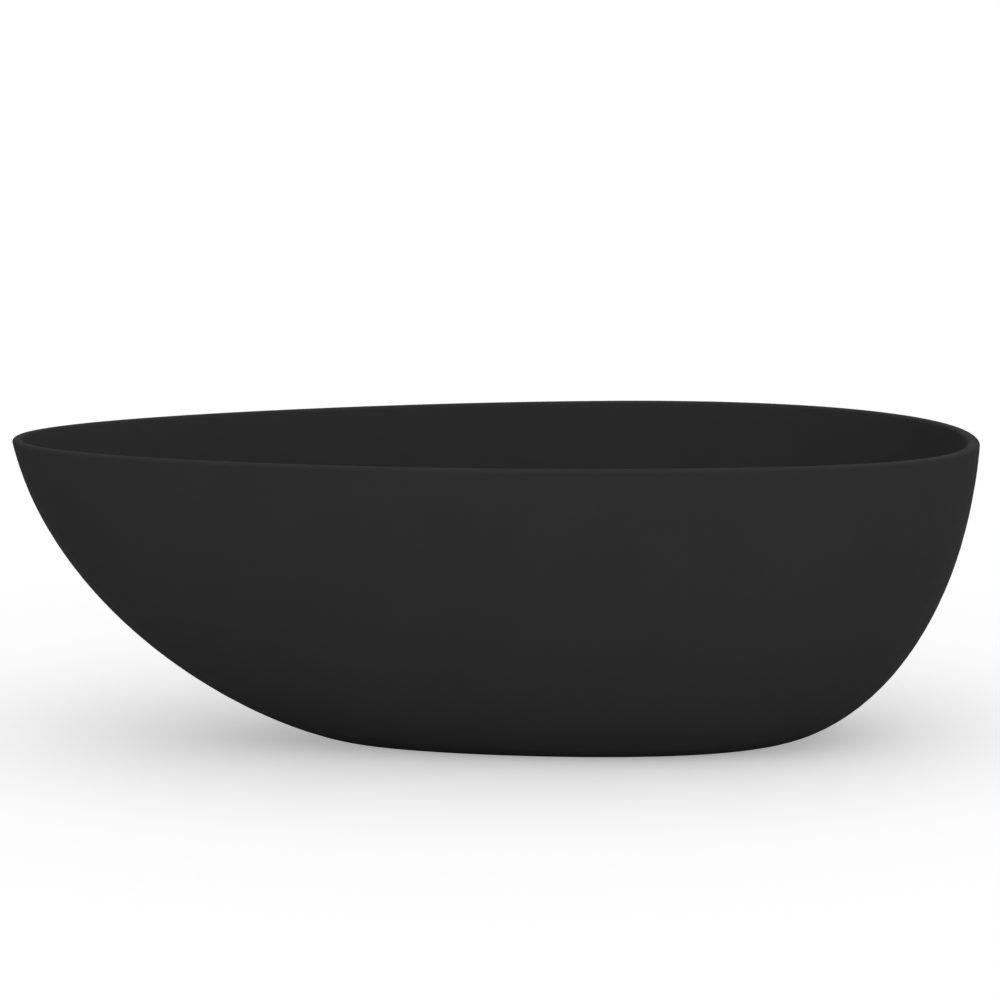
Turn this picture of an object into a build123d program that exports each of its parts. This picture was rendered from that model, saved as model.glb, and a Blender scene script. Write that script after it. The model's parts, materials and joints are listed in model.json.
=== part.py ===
from build123d import *
import os
from math import acos, atan2, cos, degrees, radians, sin, tan

# Freestanding double-skinned bathtub, in millimetres.
# The origin is on the floor under the middle of the plan. +Z is up, the sloping head end is -X
# and the steeper foot end, with the waste and the overflow, is +X.
os.makedirs("parts", exist_ok=True)

# ---------------------------------------------------------------- driving sizes
length = 1750.0
width = 860.0
height = 560.0

rim_thickness = 18.0
rim_rounding = 5.5
rim_fall = 11.0
rim_fall_start = 230.0
lip_depth = 16.0

floor_gap = 2.0
shell_thickness = 8.0
base_return = 25.0
skin_thickness = 7.0
floor_height = 125.0

# Lofted skins: steps from foot to top, how far they run past the rim, and how gently they end.
loft_steps = 8
loft_spare = 18.0
loft_ease = 24.0
end_margin = 25.0
cut_height = 200.0

# Egg plan: how far along the widest pull lies, and how strongly each part bulges.
belly_share = 0.258
head_bulge = 0.575
belly_bulge = 0.921
foot_bulge = 1.69

# Each wall: plan reach at its foot, at the rim, rise at which it stands upright, fullness.
outer_head = (-264.0, -length / 2, 670.0, 1.43)
outer_foot = (496.0, length / 2, 595.0, 1.94)
outer_side = (188.0, width / 2, 596.0, 1.665)
inner_head = (-330.0, rim_thickness - length / 2, 700.0, 1.6)
inner_foot = (520.0, length / 2 - rim_thickness, 1100.0, 1.8)
inner_side = (200.0, width / 2 - rim_thickness, 700.0, 1.7)

# Waste
drain_x = 340.0
dish_depth = 6.0
dish_radius = 60.0
dish_floor_share = 0.62
drain_hole_radius = 26.0
flange_seal_thickness = 1.5
flange_thickness = 2.5
flange_radius = 35.0
flange_edge = 1.0
flange_slope = 5.0
flange_bore_radius = 20.5
flange_neck_radius = 23.5
flange_collar_radius = 25.5
flange_collar_depth = 3.0
seal_radius = 34.0
gasket_thickness = 3.0
waste_height = 50.0
waste_neck_radius = 28.0
waste_neck_height = 22.0
waste_neck_slope = 8.0
chamber_depth = 18.0
waste_wall = 4.0
chamber_radius = 30.0
chamber_bore_radius = 23.6
tail_bore_radius = 20.0
waste_spigot_length = 29.0
flange_end_gap = 0.2
window_size = (8.0, 16.0, 12.0)
fit_gap = 0.1
hub_radius = 7.5
hub_height = 6.0
spoke_size = (41.4, 3.0, 5.0)
cap_radius = 30.0
cap_edge = 2.0
cap_chamfer = 0.5
cap_dome = 3.0
stem_boss_radius = 6.0
stem_socket_radius = 3.0
stem_boss_socket = 3.0
stem_radius = 2.5
seal_bore_radius = 14.0
seal_lip_radius = 23.0
seal_lip_depth = 3.2
seal_edge = 0.2
cartridge_radius = 5.0
cartridge_drop = 12.0
cartridge_rise = 16.0
cartridge_collar_height = 3.0
cartridge_floor = 3.0
stem_end_gap = 1.0
cap_gap = 0.4
stem_boss_length = 4.4
cartridge_collar_radius = 7.0
spring_wire = 0.45
spring_radius = 4.3
spring_turns = 4
tail_radius = 23.9
tail_length = 16.0

# Overflow
body_flange_thickness = 3.0
body_wall = 3.0
overflow_height = 440.0
overflow_hole_radius = 24.0
body_standoff = 12.0
body_depth = 17.0
spigot_depth = 10.0
body_radius = 27.0
neck_radius = 22.5
neck_length = 12.0
cover_standoff = 4.0
cover_radius = 35.0
cover_depth = 9.0
cover_wall = 2.0
cover_face = 2.5
cover_rounding = 3.0
screw_recess_gap = 0.2
cover_boss_radius = 8.0
gasket_depth = 9.0
gasket_bore_gap = 0.5
screw_bridge_size = (39.4, 4.0, 5.0)
screw_boss_radius = 5.5
screw_boss_length = 8.0
hex_socket_radius = 2.0
hex_socket_depth = 1.6
cover_screw_head_height = 2.6
spigot_length = 24.0
hose_outer_radius = 12.0
hose_inner_radius = 9.6
spigot_radius = 9.5
spigot_bore_radius = 7.5
hose_stop = 9.0
hose_first_run = 70.0
hose_arc_share = 0.45
clip_radius = 13.2
clip_width = 9.0
clip_screw_size = (5.0, 9.0)
clip_inset = 8.0
clip_gap = 0.05

# Trap
trap_radius = 48.5
trap_wall = 3.0
washer_thickness = 3.0
lid_thickness = 5.0
trap_floor = 5.0
weir_radius = 30.0
weir_wall = 2.5
weir_top = 37.0
dip_radius = 20.0
dip_bore_radius = 17.5
dip_bottom = 15.0
lid_lip = 1.5
lid_fit_gap = 0.2
lid_neck_radius = 27.5
lid_neck_height = 11.0
trap_seal_thickness = 1.5
trap_edge = 1.5
outlet_chamfer = 1.2
lid_spigot_depth = 4.5
nut_radius = 33.0
nut_inner_radius = 27.6
nut_lift = 1.5
nut_height = 13.5
nut_edge = 1.0
nut_roof = 3.0
nut_slip_gap = 0.2
nut_grip_count = 12
nut_grip_radius = 2.4
outlet_radius = 20.0
outlet_wall = 2.5
outlet_length = 38.0
outlet_height = 26.0

# Frame
board_thickness = 12.0
board_head_x = -310.0
board_foot_x = 500.0
board_half_width = 180.0
board_clearance = 6.0
hose_slot_length = 200.0
hose_slot_width = 44.0
rail_y = 110.0
rail_width = 30.0
rail_height = 25.0
rail_head_x = -260.0
rail_foot_x = 470.0
tube_wall = 2.0
cross_size = 25.0
cross_x = {"head": -130.0, "middle": 120.0, "foot": 425.0}
foot_places = [(-130.0, -58.0), (-130.0, 58.0), (120.0, 0.0), (425.0, -58.0), (425.0, 58.0)]
stud_radius = 5.9
stud_clearance = 0.6
stud_top = 67.0
nut_bore_radius = 6.0
nut_flat_radius = 9.5
weld_nut_height = 12.0
lock_nut_height = 6.0
pad_radius = 20.0
pad_height = 18.0
pad_edge = 1.0
pad_rim_height = 5.0
pad_neck_radius = 11.5
pad_neck_start = 12.0
socket_radius = 7.5
socket_floor = 7.0
ball_clearance = 0.1
stud_chamfer = 1.0
spanner_flat_radius = 8.5
spanner_flat_height = 6.5
spanner_flat_gap = 0.4
cap_plate = 2.0
cap_plug = 8.0
cap_step = 4.2
cap_rounding = 1.0

# Screws and brackets
screw_radius = 2.5
screw_clearance = 0.1
board_hole_cover = 2.0
board_tip_cover = 3.0
rail_screw_length = 12.0
screw_head_radius = 5.0
screw_head_height = 3.0
screw_head_rounding = 1.0
board_screw_x = (-90.0, 200.0, 390.0)
bracket_x = (0.0, 300.0)
bracket_toe_y = (150.0, 172.0)
bracket_width = 30.0
bracket_gauge = 3.0
toe_screw_inset = 8.0
toe_screw_length = 8.0
toe_hole_spare = 0.5

# Levels that follow from the sizes above
rim_rise = height - floor_gap
basin_rise = height - floor_height
floor_underside = floor_height - skin_thickness
dish_top = floor_height - dish_depth
dish_underside = floor_underside - dish_depth
board_bottom = floor_underside - board_thickness
rail_bottom = board_bottom - rail_height
cross_bottom = rail_bottom - cross_size
return_top = floor_gap + shell_thickness
screw_hole_radius = screw_radius + screw_clearance
shell_hole_depth = toe_screw_length - bracket_gauge + toe_hole_spare
flange_seat = dish_top + flange_seal_thickness
flange_top = flange_seat + flange_thickness
gasket_bottom = dish_underside - gasket_thickness
waste_bottom = gasket_bottom - waste_height
chamber_floor = gasket_bottom - chamber_depth
tail_top = waste_bottom + tail_length
flange_shelf = tail_top + waste_wall
flange_bottom = flange_shelf + flange_end_gap
neck_top = waste_bottom + waste_neck_height
collar_bottom = gasket_bottom - flange_collar_depth
waste_spigot_height = chamber_floor + spigot_bore_radius
hub_bottom = chamber_floor + hub_height
cartridge_bottom = hub_bottom - cartridge_drop
cartridge_top = hub_bottom + cartridge_rise
cap_underside = flange_top + cap_gap
stem_boss_bottom = cap_underside - stem_boss_length
stem_top = stem_boss_bottom + stem_boss_socket
cap_edge_top = cap_underside + cap_edge
trap_top = waste_bottom - washer_thickness
nut_bottom = trap_top + nut_lift
nut_top = nut_bottom + nut_height
cup_top = trap_top - lid_thickness

UP = (Align.CENTER, Align.CENTER, Align.MIN)
DOWN = (Align.CENTER, Align.CENTER, Align.MAX)


# ---------------------------------------------------------------- shared shapes
def reach(wall, rise, full_rise):
    """Plan reach of a wall at a rise above its foot: quick at first, then nearly upright."""
    at_foot, at_rim, upright, fullness = wall
    share = (1 - (1 - rise / upright) ** 2) ** (1 / fullness)
    full_share = (1 - (1 - full_rise / upright) ** 2) ** (1 / fullness)
    return at_foot + (at_rim - at_foot) * share / full_share


def egg_section(level, head, foot, half_width):
    """Level egg-shaped face, pointed towards the head end."""
    belly = head + belly_share * (foot - head)
    with BuildSketch(Plane.XY.offset(level)) as section:
        with BuildLine():
            Bezier(
                (head, 0),
                (head, head_bulge * half_width),
                (belly, belly_bulge * half_width),
                (foot, foot_bulge * half_width),
                (foot, 0),
            )
            mirror(about=Plane.XZ)
        make_face()
    return section.sketch


def egg_sections(walls, foot_level, full_rise, grow):
    """Sections of a bowl-shaped form from its foot to just above the rim, closest at the foot.
    A positive grow moves the whole skin outwards and down by that much."""
    top = full_rise + loft_spare
    bend = top + loft_ease
    sweep_angle = acos(1 - top / bend)
    sections = []
    for step in range(loft_steps + 1):
        rise = bend * (1 - cos(sweep_angle * step / loft_steps))
        head, foot, side = (reach(wall, rise, full_rise) for wall in walls)
        sections.append(egg_section(foot_level - grow + rise, head - grow, foot + grow, side + grow))
    return sections


def above_rim(drop):
    """Side view of the space above the rim line, which dips towards the foot end."""
    past_end = length / 2 + end_margin
    fall_run = length / 2 - rim_fall_start
    end_level = height - drop - rim_fall * ((past_end - rim_fall_start) / fall_run) ** 2
    level = height - drop
    with BuildSketch(Plane.XZ) as area:
        with BuildLine():
            Polyline(
                (rim_fall_start, level),
                (-past_end, level),
                (-past_end, height + cut_height),
                (past_end, height + cut_height),
                (past_end, end_level),
            )
            Bezier(
                (past_end, end_level),
                ((rim_fall_start + past_end) / 2, level),
                (rim_fall_start, level),
            )
        make_face()
    return area.sketch


outer_walls = (outer_head, outer_foot, outer_side)
inner_walls = (inner_head, inner_foot, inner_side)

with BuildPart() as outer_form:
    loft(egg_sections(outer_walls, floor_gap, rim_rise, 0))

with BuildPart() as shell_cavity_form:
    loft(egg_sections(outer_walls, floor_gap, rim_rise, -shell_thickness))

with BuildPart() as basin_underside_form:
    loft(egg_sections(inner_walls, floor_height, basin_rise, skin_thickness))

with BuildPart() as basin_inside_form:
    loft(egg_sections(inner_walls, floor_height, basin_rise, 0))

# The overflow stands square to the foot-end wall.
overflow_rise = overflow_height - floor_height
just_above = reach(inner_foot, overflow_rise + 1, basin_rise)
just_below = reach(inner_foot, overflow_rise - 1, basin_rise)
overflow_lean = degrees(atan2(just_above - just_below, 2.0))
overflow_x = reach(inner_foot, overflow_rise, basin_rise)
into_basin = Vector(-cos(radians(overflow_lean)), 0, sin(radians(overflow_lean)))
down_wall = Vector(-sin(radians(overflow_lean)), 0, -cos(radians(overflow_lean)))
overflow_point = Vector(overflow_x, 0, overflow_height)
overflow_plane = Plane(origin=overflow_point, x_dir=(0, 1, 0), z_dir=into_basin)

# ---------------------------------------------------------------- basin, shell, board
with BuildPart() as inner_basin:
    add(outer_form.part)
    extrude(above_rim(lip_depth), amount=width, both=True, mode=Mode.INTERSECT)
    add(basin_underside_form.part)
    add(basin_inside_form.part, mode=Mode.SUBTRACT)
    extrude(above_rim(0), amount=width, both=True, mode=Mode.SUBTRACT)
    rim_faces = inner_basin.faces().filter_by(
        lambda face: face.center().Z > height - rim_fall and face.normal_at().Z > 0.9
    )
    fillet(rim_faces.edges().filter_by(lambda edge: edge.length > 2 * rim_thickness), rim_rounding)
    with Locations((drain_x, 0, dish_underside)):
        Cylinder(dish_radius + 2, dish_depth + 1, align=UP)
    with Locations((drain_x, 0, dish_top)):
        Cone(dish_radius * dish_floor_share, dish_radius, dish_depth, align=UP, mode=Mode.SUBTRACT)
    with Locations((drain_x, 0, dish_underside)):
        Cylinder(drain_hole_radius, 2 * skin_thickness, align=UP, mode=Mode.SUBTRACT)
    with BuildSketch(overflow_plane):
        Circle(overflow_hole_radius)
    extrude(amount=3 * skin_thickness, both=True, mode=Mode.SUBTRACT)
inner_basin.part.label = "inner_basin"
export_step(inner_basin.part, "parts/inner_basin.step")

bracket_toes = []
for x, toe_y in zip(bracket_x, bracket_toe_y):
    for side in (-1, 1):
        bracket_toes.append((x, side * (toe_y - toe_screw_inset), return_top))

with BuildPart() as outer_shell:
    add(outer_form.part)
    add(shell_cavity_form.part, mode=Mode.SUBTRACT)
    extrude(above_rim(lip_depth), amount=width, both=True, mode=Mode.SUBTRACT)
    base_opening = egg_section(
        floor_gap,
        outer_head[0] + base_return,
        outer_foot[0] - base_return,
        outer_side[0] - base_return,
    )
    extrude(base_opening, amount=shell_thickness + 1, mode=Mode.SUBTRACT)
    with Locations(*bracket_toes):
        Cylinder(screw_hole_radius, shell_hole_depth, align=DOWN, mode=Mode.SUBTRACT)
outer_shell.part.label = "outer_shell"
export_step(outer_shell.part, "parts/outer_shell.step")

with BuildPart() as base_board:
    extrude(
        egg_section(board_bottom, board_head_x, board_foot_x, board_half_width),
        amount=board_thickness,
    )
    with BuildSketch(Plane.XY.offset(board_bottom)):
        with Locations((drain_x, 0)):
            Circle(dish_radius + board_clearance)
        with Locations((drain_x + hose_slot_length / 2, 0)):
            Rectangle(hose_slot_length, hose_slot_width)
    extrude(amount=board_thickness, mode=Mode.SUBTRACT)
    with BuildSketch(Plane.XY.offset(board_bottom)):
        with Locations(*[(x, side * rail_y) for x in board_screw_x for side in (-1, 1)]):
            Circle(screw_hole_radius)
    extrude(amount=board_thickness - board_hole_cover, mode=Mode.SUBTRACT)
base_board.part.label = "base_board"
export_step(base_board.part, "parts/base_board.step")

# ---------------------------------------------------------------- steel frame
rail_length = rail_foot_x - rail_head_x
rail_middle_x = (rail_foot_x + rail_head_x) / 2
for name, side in (("frame_rail_front", -1), ("frame_rail_back", 1)):
    with BuildPart(Plane((rail_middle_x, side * rail_y, rail_bottom))) as frame_rail:
        Box(rail_length, rail_width, rail_height, align=UP)
        with Locations((0, 0, tube_wall)):
            Box(
                rail_length,
                rail_width - 2 * tube_wall,
                rail_height - 2 * tube_wall,
                align=UP,
                mode=Mode.SUBTRACT,
            )
        with Locations(*[(x - rail_middle_x, 0, 0) for x in board_screw_x]):
            Cylinder(screw_hole_radius, rail_height, align=UP, mode=Mode.SUBTRACT)
        for x in bracket_x:
            with Locations(Plane((x - rail_middle_x, 0, rail_height / 2), z_dir=(0, side, 0))):
                Cylinder(screw_hole_radius, rail_width, align=UP, mode=Mode.SUBTRACT)
    frame_rail.part.label = name
    export_step(frame_rail.part, f"parts/{name}.step")

cross_length = 2 * rail_y + rail_width
for name, x in cross_x.items():
    with BuildPart(Plane((x, 0, cross_bottom))) as cross_tube:
        Box(cross_size, cross_length, cross_size, align=UP)
        with Locations((0, 0, tube_wall)):
            Box(
                cross_size - 2 * tube_wall,
                cross_length,
                cross_size - 2 * tube_wall,
                align=UP,
                mode=Mode.SUBTRACT,
            )
        with Locations(*[(0, foot_y, 0) for foot_x, foot_y in foot_places if foot_x == x]):
            Cylinder(stud_radius + stud_clearance, 2 * tube_wall, align=UP, mode=Mode.SUBTRACT)
    cross_tube.part.label = f"cross_tube_{name}"
    export_step(cross_tube.part, f"parts/cross_tube_{name}.step")

with BuildPart() as rail_end_caps:
    for end_x, outward in ((rail_head_x, -1), (rail_foot_x, 1)):
        for side in (-1, 1):
            middle = Vector(end_x, side * rail_y, rail_bottom + rail_height / 2)
            with Locations(Plane(middle, x_dir=(0, 1, 0), z_dir=(outward, 0, 0))):
                Box(rail_width, rail_height, cap_plate, align=UP)
                Box(rail_width - cap_step, rail_height - cap_step, cap_plug, align=DOWN)
    end_faces = rail_end_caps.faces().filter_by(Axis.X).group_by(Axis.X)
    fillet(end_faces[0].edges(), cap_rounding)
    fillet(end_faces[-1].edges(), cap_rounding)
rail_end_caps.part.label = "rail_end_caps"
export_step(rail_end_caps.part, "parts/rail_end_caps.step")

with BuildPart() as cross_tube_end_caps:
    for x in cross_x.values():
        for side in (-1, 1):
            middle = Vector(x, side * cross_length / 2, cross_bottom + cross_size / 2)
            with Locations(Plane(middle, x_dir=(1, 0, 0), z_dir=(0, side, 0))):
                Box(cross_size, cross_size, cap_plate, align=UP)
                Box(cross_size - cap_step, cross_size - cap_step, cap_plug, align=DOWN)
cross_tube_end_caps.part.label = "cross_tube_end_caps"
export_step(cross_tube_end_caps.part, "parts/cross_tube_end_caps.step")

with BuildPart() as board_screws:
    for x in board_screw_x:
        for side in (-1, 1):
            with Locations((x, side * rail_y, rail_bottom)):
                Cylinder(screw_radius, rail_height + board_thickness - board_tip_cover, align=UP)
                Cylinder(screw_head_radius, screw_head_height, align=DOWN)
    heads = board_screws.faces().filter_by(Axis.Z).group_by(Axis.Z)[0]
    fillet(heads.edges(), screw_head_rounding)
board_screws.part.label = "board_screws"
export_step(board_screws.part, "parts/board_screws.step")

# ---------------------------------------------------------------- shell brackets
rail_face_y = rail_y + rail_width / 2
rail_screw_level = rail_bottom + rail_height / 2
with BuildPart() as shell_brackets:
    for x, toe_y in zip(bracket_x, bracket_toe_y):
        for side in (-1, 1):
            with Locations((x, side * (rail_face_y + bracket_gauge / 2), return_top)):
                Box(bracket_width, bracket_gauge, board_bottom - return_top, align=UP)
            with Locations((x, side * (rail_face_y + toe_y) / 2, return_top)):
                Box(bracket_width, toe_y - rail_face_y, bracket_gauge, align=UP)
            with Locations(Plane((x, side * rail_face_y, rail_screw_level), z_dir=(0, side, 0))):
                Cylinder(screw_hole_radius, bracket_gauge, align=UP, mode=Mode.SUBTRACT)
            with Locations((x, side * (toe_y - toe_screw_inset), return_top)):
                Cylinder(screw_hole_radius, bracket_gauge, align=UP, mode=Mode.SUBTRACT)
shell_brackets.part.label = "shell_brackets"
export_step(shell_brackets.part, "parts/shell_brackets.step")

with BuildPart() as bracket_screws:
    for x, toe_y in zip(bracket_x, bracket_toe_y):
        for side in (-1, 1):
            head_y = side * (rail_face_y + bracket_gauge)
            with Locations(Plane((x, head_y, rail_screw_level), z_dir=(0, side, 0))):
                Cylinder(screw_head_radius, screw_head_height, align=UP)
                Cylinder(screw_radius, rail_screw_length, align=DOWN)
            with Locations((x, side * (toe_y - toe_screw_inset), return_top + bracket_gauge)):
                Cylinder(screw_head_radius, screw_head_height, align=UP)
                Cylinder(screw_radius, toe_screw_length, align=DOWN)
bracket_screws.part.label = "bracket_screws"
export_step(bracket_screws.part, "parts/bracket_screws.step")

# ---------------------------------------------------------------- levelling feet
with BuildPart() as foot_weld_nuts:
    with BuildSketch(Plane.XY.offset(cross_bottom - weld_nut_height)):
        with Locations(*foot_places):
            RegularPolygon(nut_flat_radius, 6, major_radius=False)
            Circle(nut_bore_radius, mode=Mode.SUBTRACT)
    extrude(amount=weld_nut_height)
foot_weld_nuts.part.label = "foot_weld_nuts"
export_step(foot_weld_nuts.part, "parts/foot_weld_nuts.step")

lock_nut_bottom = cross_bottom - weld_nut_height - lock_nut_height
with BuildPart() as foot_lock_nuts:
    with BuildSketch(Plane.XY.offset(lock_nut_bottom)):
        with Locations(*foot_places):
            RegularPolygon(nut_flat_radius, 6, major_radius=False, rotation=15)
            Circle(nut_bore_radius, mode=Mode.SUBTRACT)
    extrude(amount=lock_nut_height)
foot_lock_nuts.part.label = "foot_lock_nuts"
export_step(foot_lock_nuts.part, "parts/foot_lock_nuts.step")

for number, (foot_x, foot_y) in enumerate(foot_places, start=1):
    with BuildPart() as foot_pad:
        with BuildSketch(Plane((foot_x, foot_y, 0), x_dir=(1, 0, 0), z_dir=(0, -1, 0))):
            with BuildLine():
                Polyline(
                    (0, 0),
                    (pad_radius - pad_edge, 0),
                    (pad_radius, pad_edge),
                    (pad_radius, pad_rim_height),
                    (pad_neck_radius, pad_neck_start),
                    (pad_neck_radius, pad_height),
                    (socket_radius, pad_height),
                    (socket_radius, socket_floor),
                    (0, socket_floor),
                    close=True,
                )
            make_face()
        revolve(axis=Axis((foot_x, foot_y, 0), (0, 0, 1)))
    foot_pad.part.label = f"foot_pad_{number}"
    export_step(foot_pad.part, f"parts/foot_pad_{number}.step")

    with BuildPart(Plane((foot_x, foot_y, 0))) as foot_stud:
        with Locations((0, 0, socket_floor + ball_clearance)):
            Cylinder(socket_radius - ball_clearance, pad_height - socket_floor, align=UP)
        with Locations((0, 0, pad_height)):
            Cylinder(stud_radius, stud_top - pad_height, align=UP)
        with BuildSketch(Plane((foot_x, foot_y, pad_height + spanner_flat_gap))):
            RegularPolygon(spanner_flat_radius, 6, major_radius=False)
        extrude(amount=spanner_flat_height)
        chamfer(foot_stud.faces().sort_by(Axis.Z)[-1].edges(), stud_chamfer)
    foot_stud.part.label = f"foot_stud_{number}"
    export_step(foot_stud.part, f"parts/foot_stud_{number}.step")

# ---------------------------------------------------------------- waste and stopper
drain_section = Plane((drain_x, 0, 0), x_dir=(1, 0, 0), z_dir=(0, -1, 0))
drain_axis = Axis((drain_x, 0, 0), (0, 0, 1))

with BuildPart() as drain_flange:
    with BuildSketch(drain_section):
        with BuildLine():
            Polyline(
                (flange_radius, flange_seat),
                (flange_radius, flange_top - flange_edge),
                (flange_radius - flange_edge, flange_top),
                (drain_hole_radius, flange_top),
                (flange_bore_radius + flange_edge, flange_top - flange_slope),
                (flange_bore_radius, flange_top - flange_slope - flange_edge),
                (flange_bore_radius, flange_bottom),
                (flange_neck_radius, flange_bottom),
                (flange_neck_radius, collar_bottom),
                (flange_collar_radius, collar_bottom),
                (flange_collar_radius, flange_seat),
                close=True,
            )
        make_face()
    revolve(axis=drain_axis)
    with Locations((drain_x, 0, chamber_floor + 1)):
        with PolarLocations((flange_bore_radius + flange_neck_radius) / 2, 4, start_angle=45):
            Box(*window_size, align=UP, mode=Mode.SUBTRACT)
    with Locations((drain_x, 0, hub_bottom)):
        Cylinder(hub_radius, hub_height, align=UP)
        for turn in (0, 60, 120):
            Box(*spoke_size, rotation=(0, 0, turn), align=UP)
        Cylinder(cartridge_radius + fit_gap, hub_height, align=UP, mode=Mode.SUBTRACT)
drain_flange.part.label = "drain_flange"
export_step(drain_flange.part, "parts/drain_flange.step")

with BuildPart(Plane((drain_x, 0, dish_top))) as flange_seal:
    Cylinder(seal_radius, flange_seal_thickness, align=UP)
    Cylinder(drain_hole_radius, flange_seal_thickness, align=UP, mode=Mode.SUBTRACT)
flange_seal.part.label = "flange_seal"
export_step(flange_seal.part, "parts/flange_seal.step")

with BuildPart(Plane((drain_x, 0, gasket_bottom))) as waste_gasket:
    Cylinder(seal_radius, gasket_thickness, align=UP)
    Cylinder(drain_hole_radius, gasket_thickness, align=UP, mode=Mode.SUBTRACT)
waste_gasket.part.label = "waste_gasket"
export_step(waste_gasket.part, "parts/waste_gasket.step")

with BuildPart() as waste_body:
    with BuildSketch(drain_section):
        with BuildLine():
            Polyline(
                (tail_bore_radius, waste_bottom),
                (tail_radius, waste_bottom),
                (tail_radius, tail_top),
                (waste_neck_radius, tail_top),
                (waste_neck_radius, neck_top),
                (seal_radius, neck_top + waste_neck_slope),
                (seal_radius, gasket_bottom),
                (drain_hole_radius, gasket_bottom),
                (drain_hole_radius, collar_bottom),
                (chamber_radius, collar_bottom),
                (chamber_radius, chamber_floor),
                (chamber_bore_radius, chamber_floor),
                (chamber_bore_radius, flange_shelf),
                (tail_bore_radius, flange_shelf),
                close=True,
            )
        make_face()
    revolve(axis=drain_axis)
    with Locations(Plane((drain_x + chamber_radius + 1, 0, waste_spigot_height), z_dir=(1, 0, 0))):
        Cylinder(spigot_radius, waste_spigot_length, align=UP)
    with Locations(Plane((drain_x + chamber_radius - 2, 0, waste_spigot_height), z_dir=(1, 0, 0))):
        Cylinder(spigot_bore_radius, waste_spigot_length + 11, align=UP, mode=Mode.SUBTRACT)
waste_body.part.label = "waste_body"
export_step(waste_body.part, "parts/waste_body.step")

with BuildPart(Plane((drain_x, 0, 0))) as cartridge_body:
    with Locations((0, 0, cartridge_bottom)):
        Cylinder(cartridge_radius, cartridge_top - cartridge_bottom, align=UP)
    with Locations((0, 0, hub_bottom + hub_height)):
        Cylinder(cartridge_collar_radius, cartridge_collar_height, align=UP)
    with Locations((0, 0, cartridge_bottom + cartridge_floor)):
        Cylinder(stem_radius + fit_gap, cartridge_top - cartridge_bottom, align=UP, mode=Mode.SUBTRACT)
cartridge_body.part.label = "cartridge_body"
export_step(cartridge_body.part, "parts/cartridge_body.step")

dome_radius = (cap_radius ** 2 + cap_dome ** 2) / (2 * cap_dome)
with BuildPart() as stopper_cap:
    with BuildSketch(drain_section):
        with BuildLine():
            Polyline(
                (0, cap_edge_top + cap_dome),
                (0, stem_top),
                (stem_socket_radius, stem_top),
                (stem_socket_radius, stem_boss_bottom),
                (stem_boss_radius, stem_boss_bottom),
                (stem_boss_radius, cap_underside),
                (cap_radius - cap_chamfer, cap_underside),
                (cap_radius, cap_underside + cap_chamfer),
                (cap_radius, cap_edge_top),
            )
            RadiusArc((cap_radius, cap_edge_top), (0, cap_edge_top + cap_dome), -dome_radius)
        make_face()
    revolve(axis=drain_axis)
stopper_cap.part.label = "stopper_cap"
export_step(stopper_cap.part, "parts/stopper_cap.step")

with BuildPart() as stopper_seal:
    with BuildSketch(drain_section):
        with BuildLine():
            Polyline(
                (seal_bore_radius, cap_underside),
                (seal_bore_radius, cap_underside - seal_lip_depth),
                (seal_lip_radius, cap_underside - seal_lip_depth),
                (flange_collar_radius, cap_underside - seal_edge),
                (flange_collar_radius, cap_underside),
                close=True,
            )
        make_face()
    revolve(axis=drain_axis)
stopper_seal.part.label = "stopper_seal"
export_step(stopper_seal.part, "parts/stopper_seal.step")

stem_bottom = cartridge_bottom + cartridge_floor + stem_end_gap
with BuildPart(Plane((drain_x, 0, stem_bottom))) as stopper_stem:
    Cylinder(stem_radius, stem_top - stem_bottom, align=UP)
stopper_stem.part.label = "stopper_stem"
export_step(stopper_stem.part, "parts/stopper_stem.step")

spring_length = stem_boss_bottom - cartridge_top - 2 * spring_wire
with BuildPart() as stopper_spring:
    with BuildLine(Plane((drain_x, 0, cartridge_top + spring_wire))) as coil:
        Helix(pitch=spring_length / spring_turns, height=spring_length, radius=spring_radius)
    with BuildSketch(Plane(coil.line @ 0, z_dir=coil.line % 0)):
        Circle(spring_wire)
    sweep()
stopper_spring.part.label = "stopper_spring"
export_step(stopper_spring.part, "parts/stopper_spring.step")

# ---------------------------------------------------------------- overflow
# The body hangs behind the wall, and its own plane faces away from the basin.
wall_back = overflow_point - body_standoff * into_basin
body_plane = Plane(origin=wall_back, x_dir=(0, 1, 0), z_dir=-into_basin)
spigot_root = wall_back - spigot_depth * into_basin
spigot_plane = Plane(origin=spigot_root, x_dir=(0, 1, 0), z_dir=down_wall)

with BuildPart() as overflow_body:
    with Locations(body_plane):
        Cylinder(seal_radius, body_flange_thickness, align=UP)
        Cylinder(body_radius, body_depth, align=UP)
        Cylinder(neck_radius, neck_length, align=DOWN)
    with Locations(spigot_plane):
        Cylinder(spigot_radius, body_radius + spigot_length, align=UP)
    with Locations(body_plane.offset(-neck_length)):
        Cylinder(
            neck_radius - body_wall,
            neck_length + body_depth - body_wall,
            align=UP,
            mode=Mode.SUBTRACT,
        )
    with Locations(spigot_plane.offset(neck_radius - body_wall - 2)):
        Cylinder(spigot_bore_radius, body_radius + spigot_length, align=UP, mode=Mode.SUBTRACT)
    with Locations(body_plane.offset(-body_flange_thickness)):
        Box(*screw_bridge_size)
        Cylinder(screw_boss_radius, screw_boss_length)
        Cylinder(screw_hole_radius, screw_boss_length, mode=Mode.SUBTRACT)
overflow_body.part.label = "overflow_body"
export_step(overflow_body.part, "parts/overflow_body.step")

with BuildPart() as overflow_gasket:
    with Locations(body_plane):
        Cylinder(seal_radius, gasket_depth, align=DOWN)
        Cylinder(overflow_hole_radius + gasket_bore_gap, gasket_depth, align=DOWN, mode=Mode.SUBTRACT)
    add(basin_underside_form.part, mode=Mode.SUBTRACT)
overflow_gasket.part.label = "overflow_gasket"
export_step(overflow_gasket.part, "parts/overflow_gasket.step")

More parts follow.
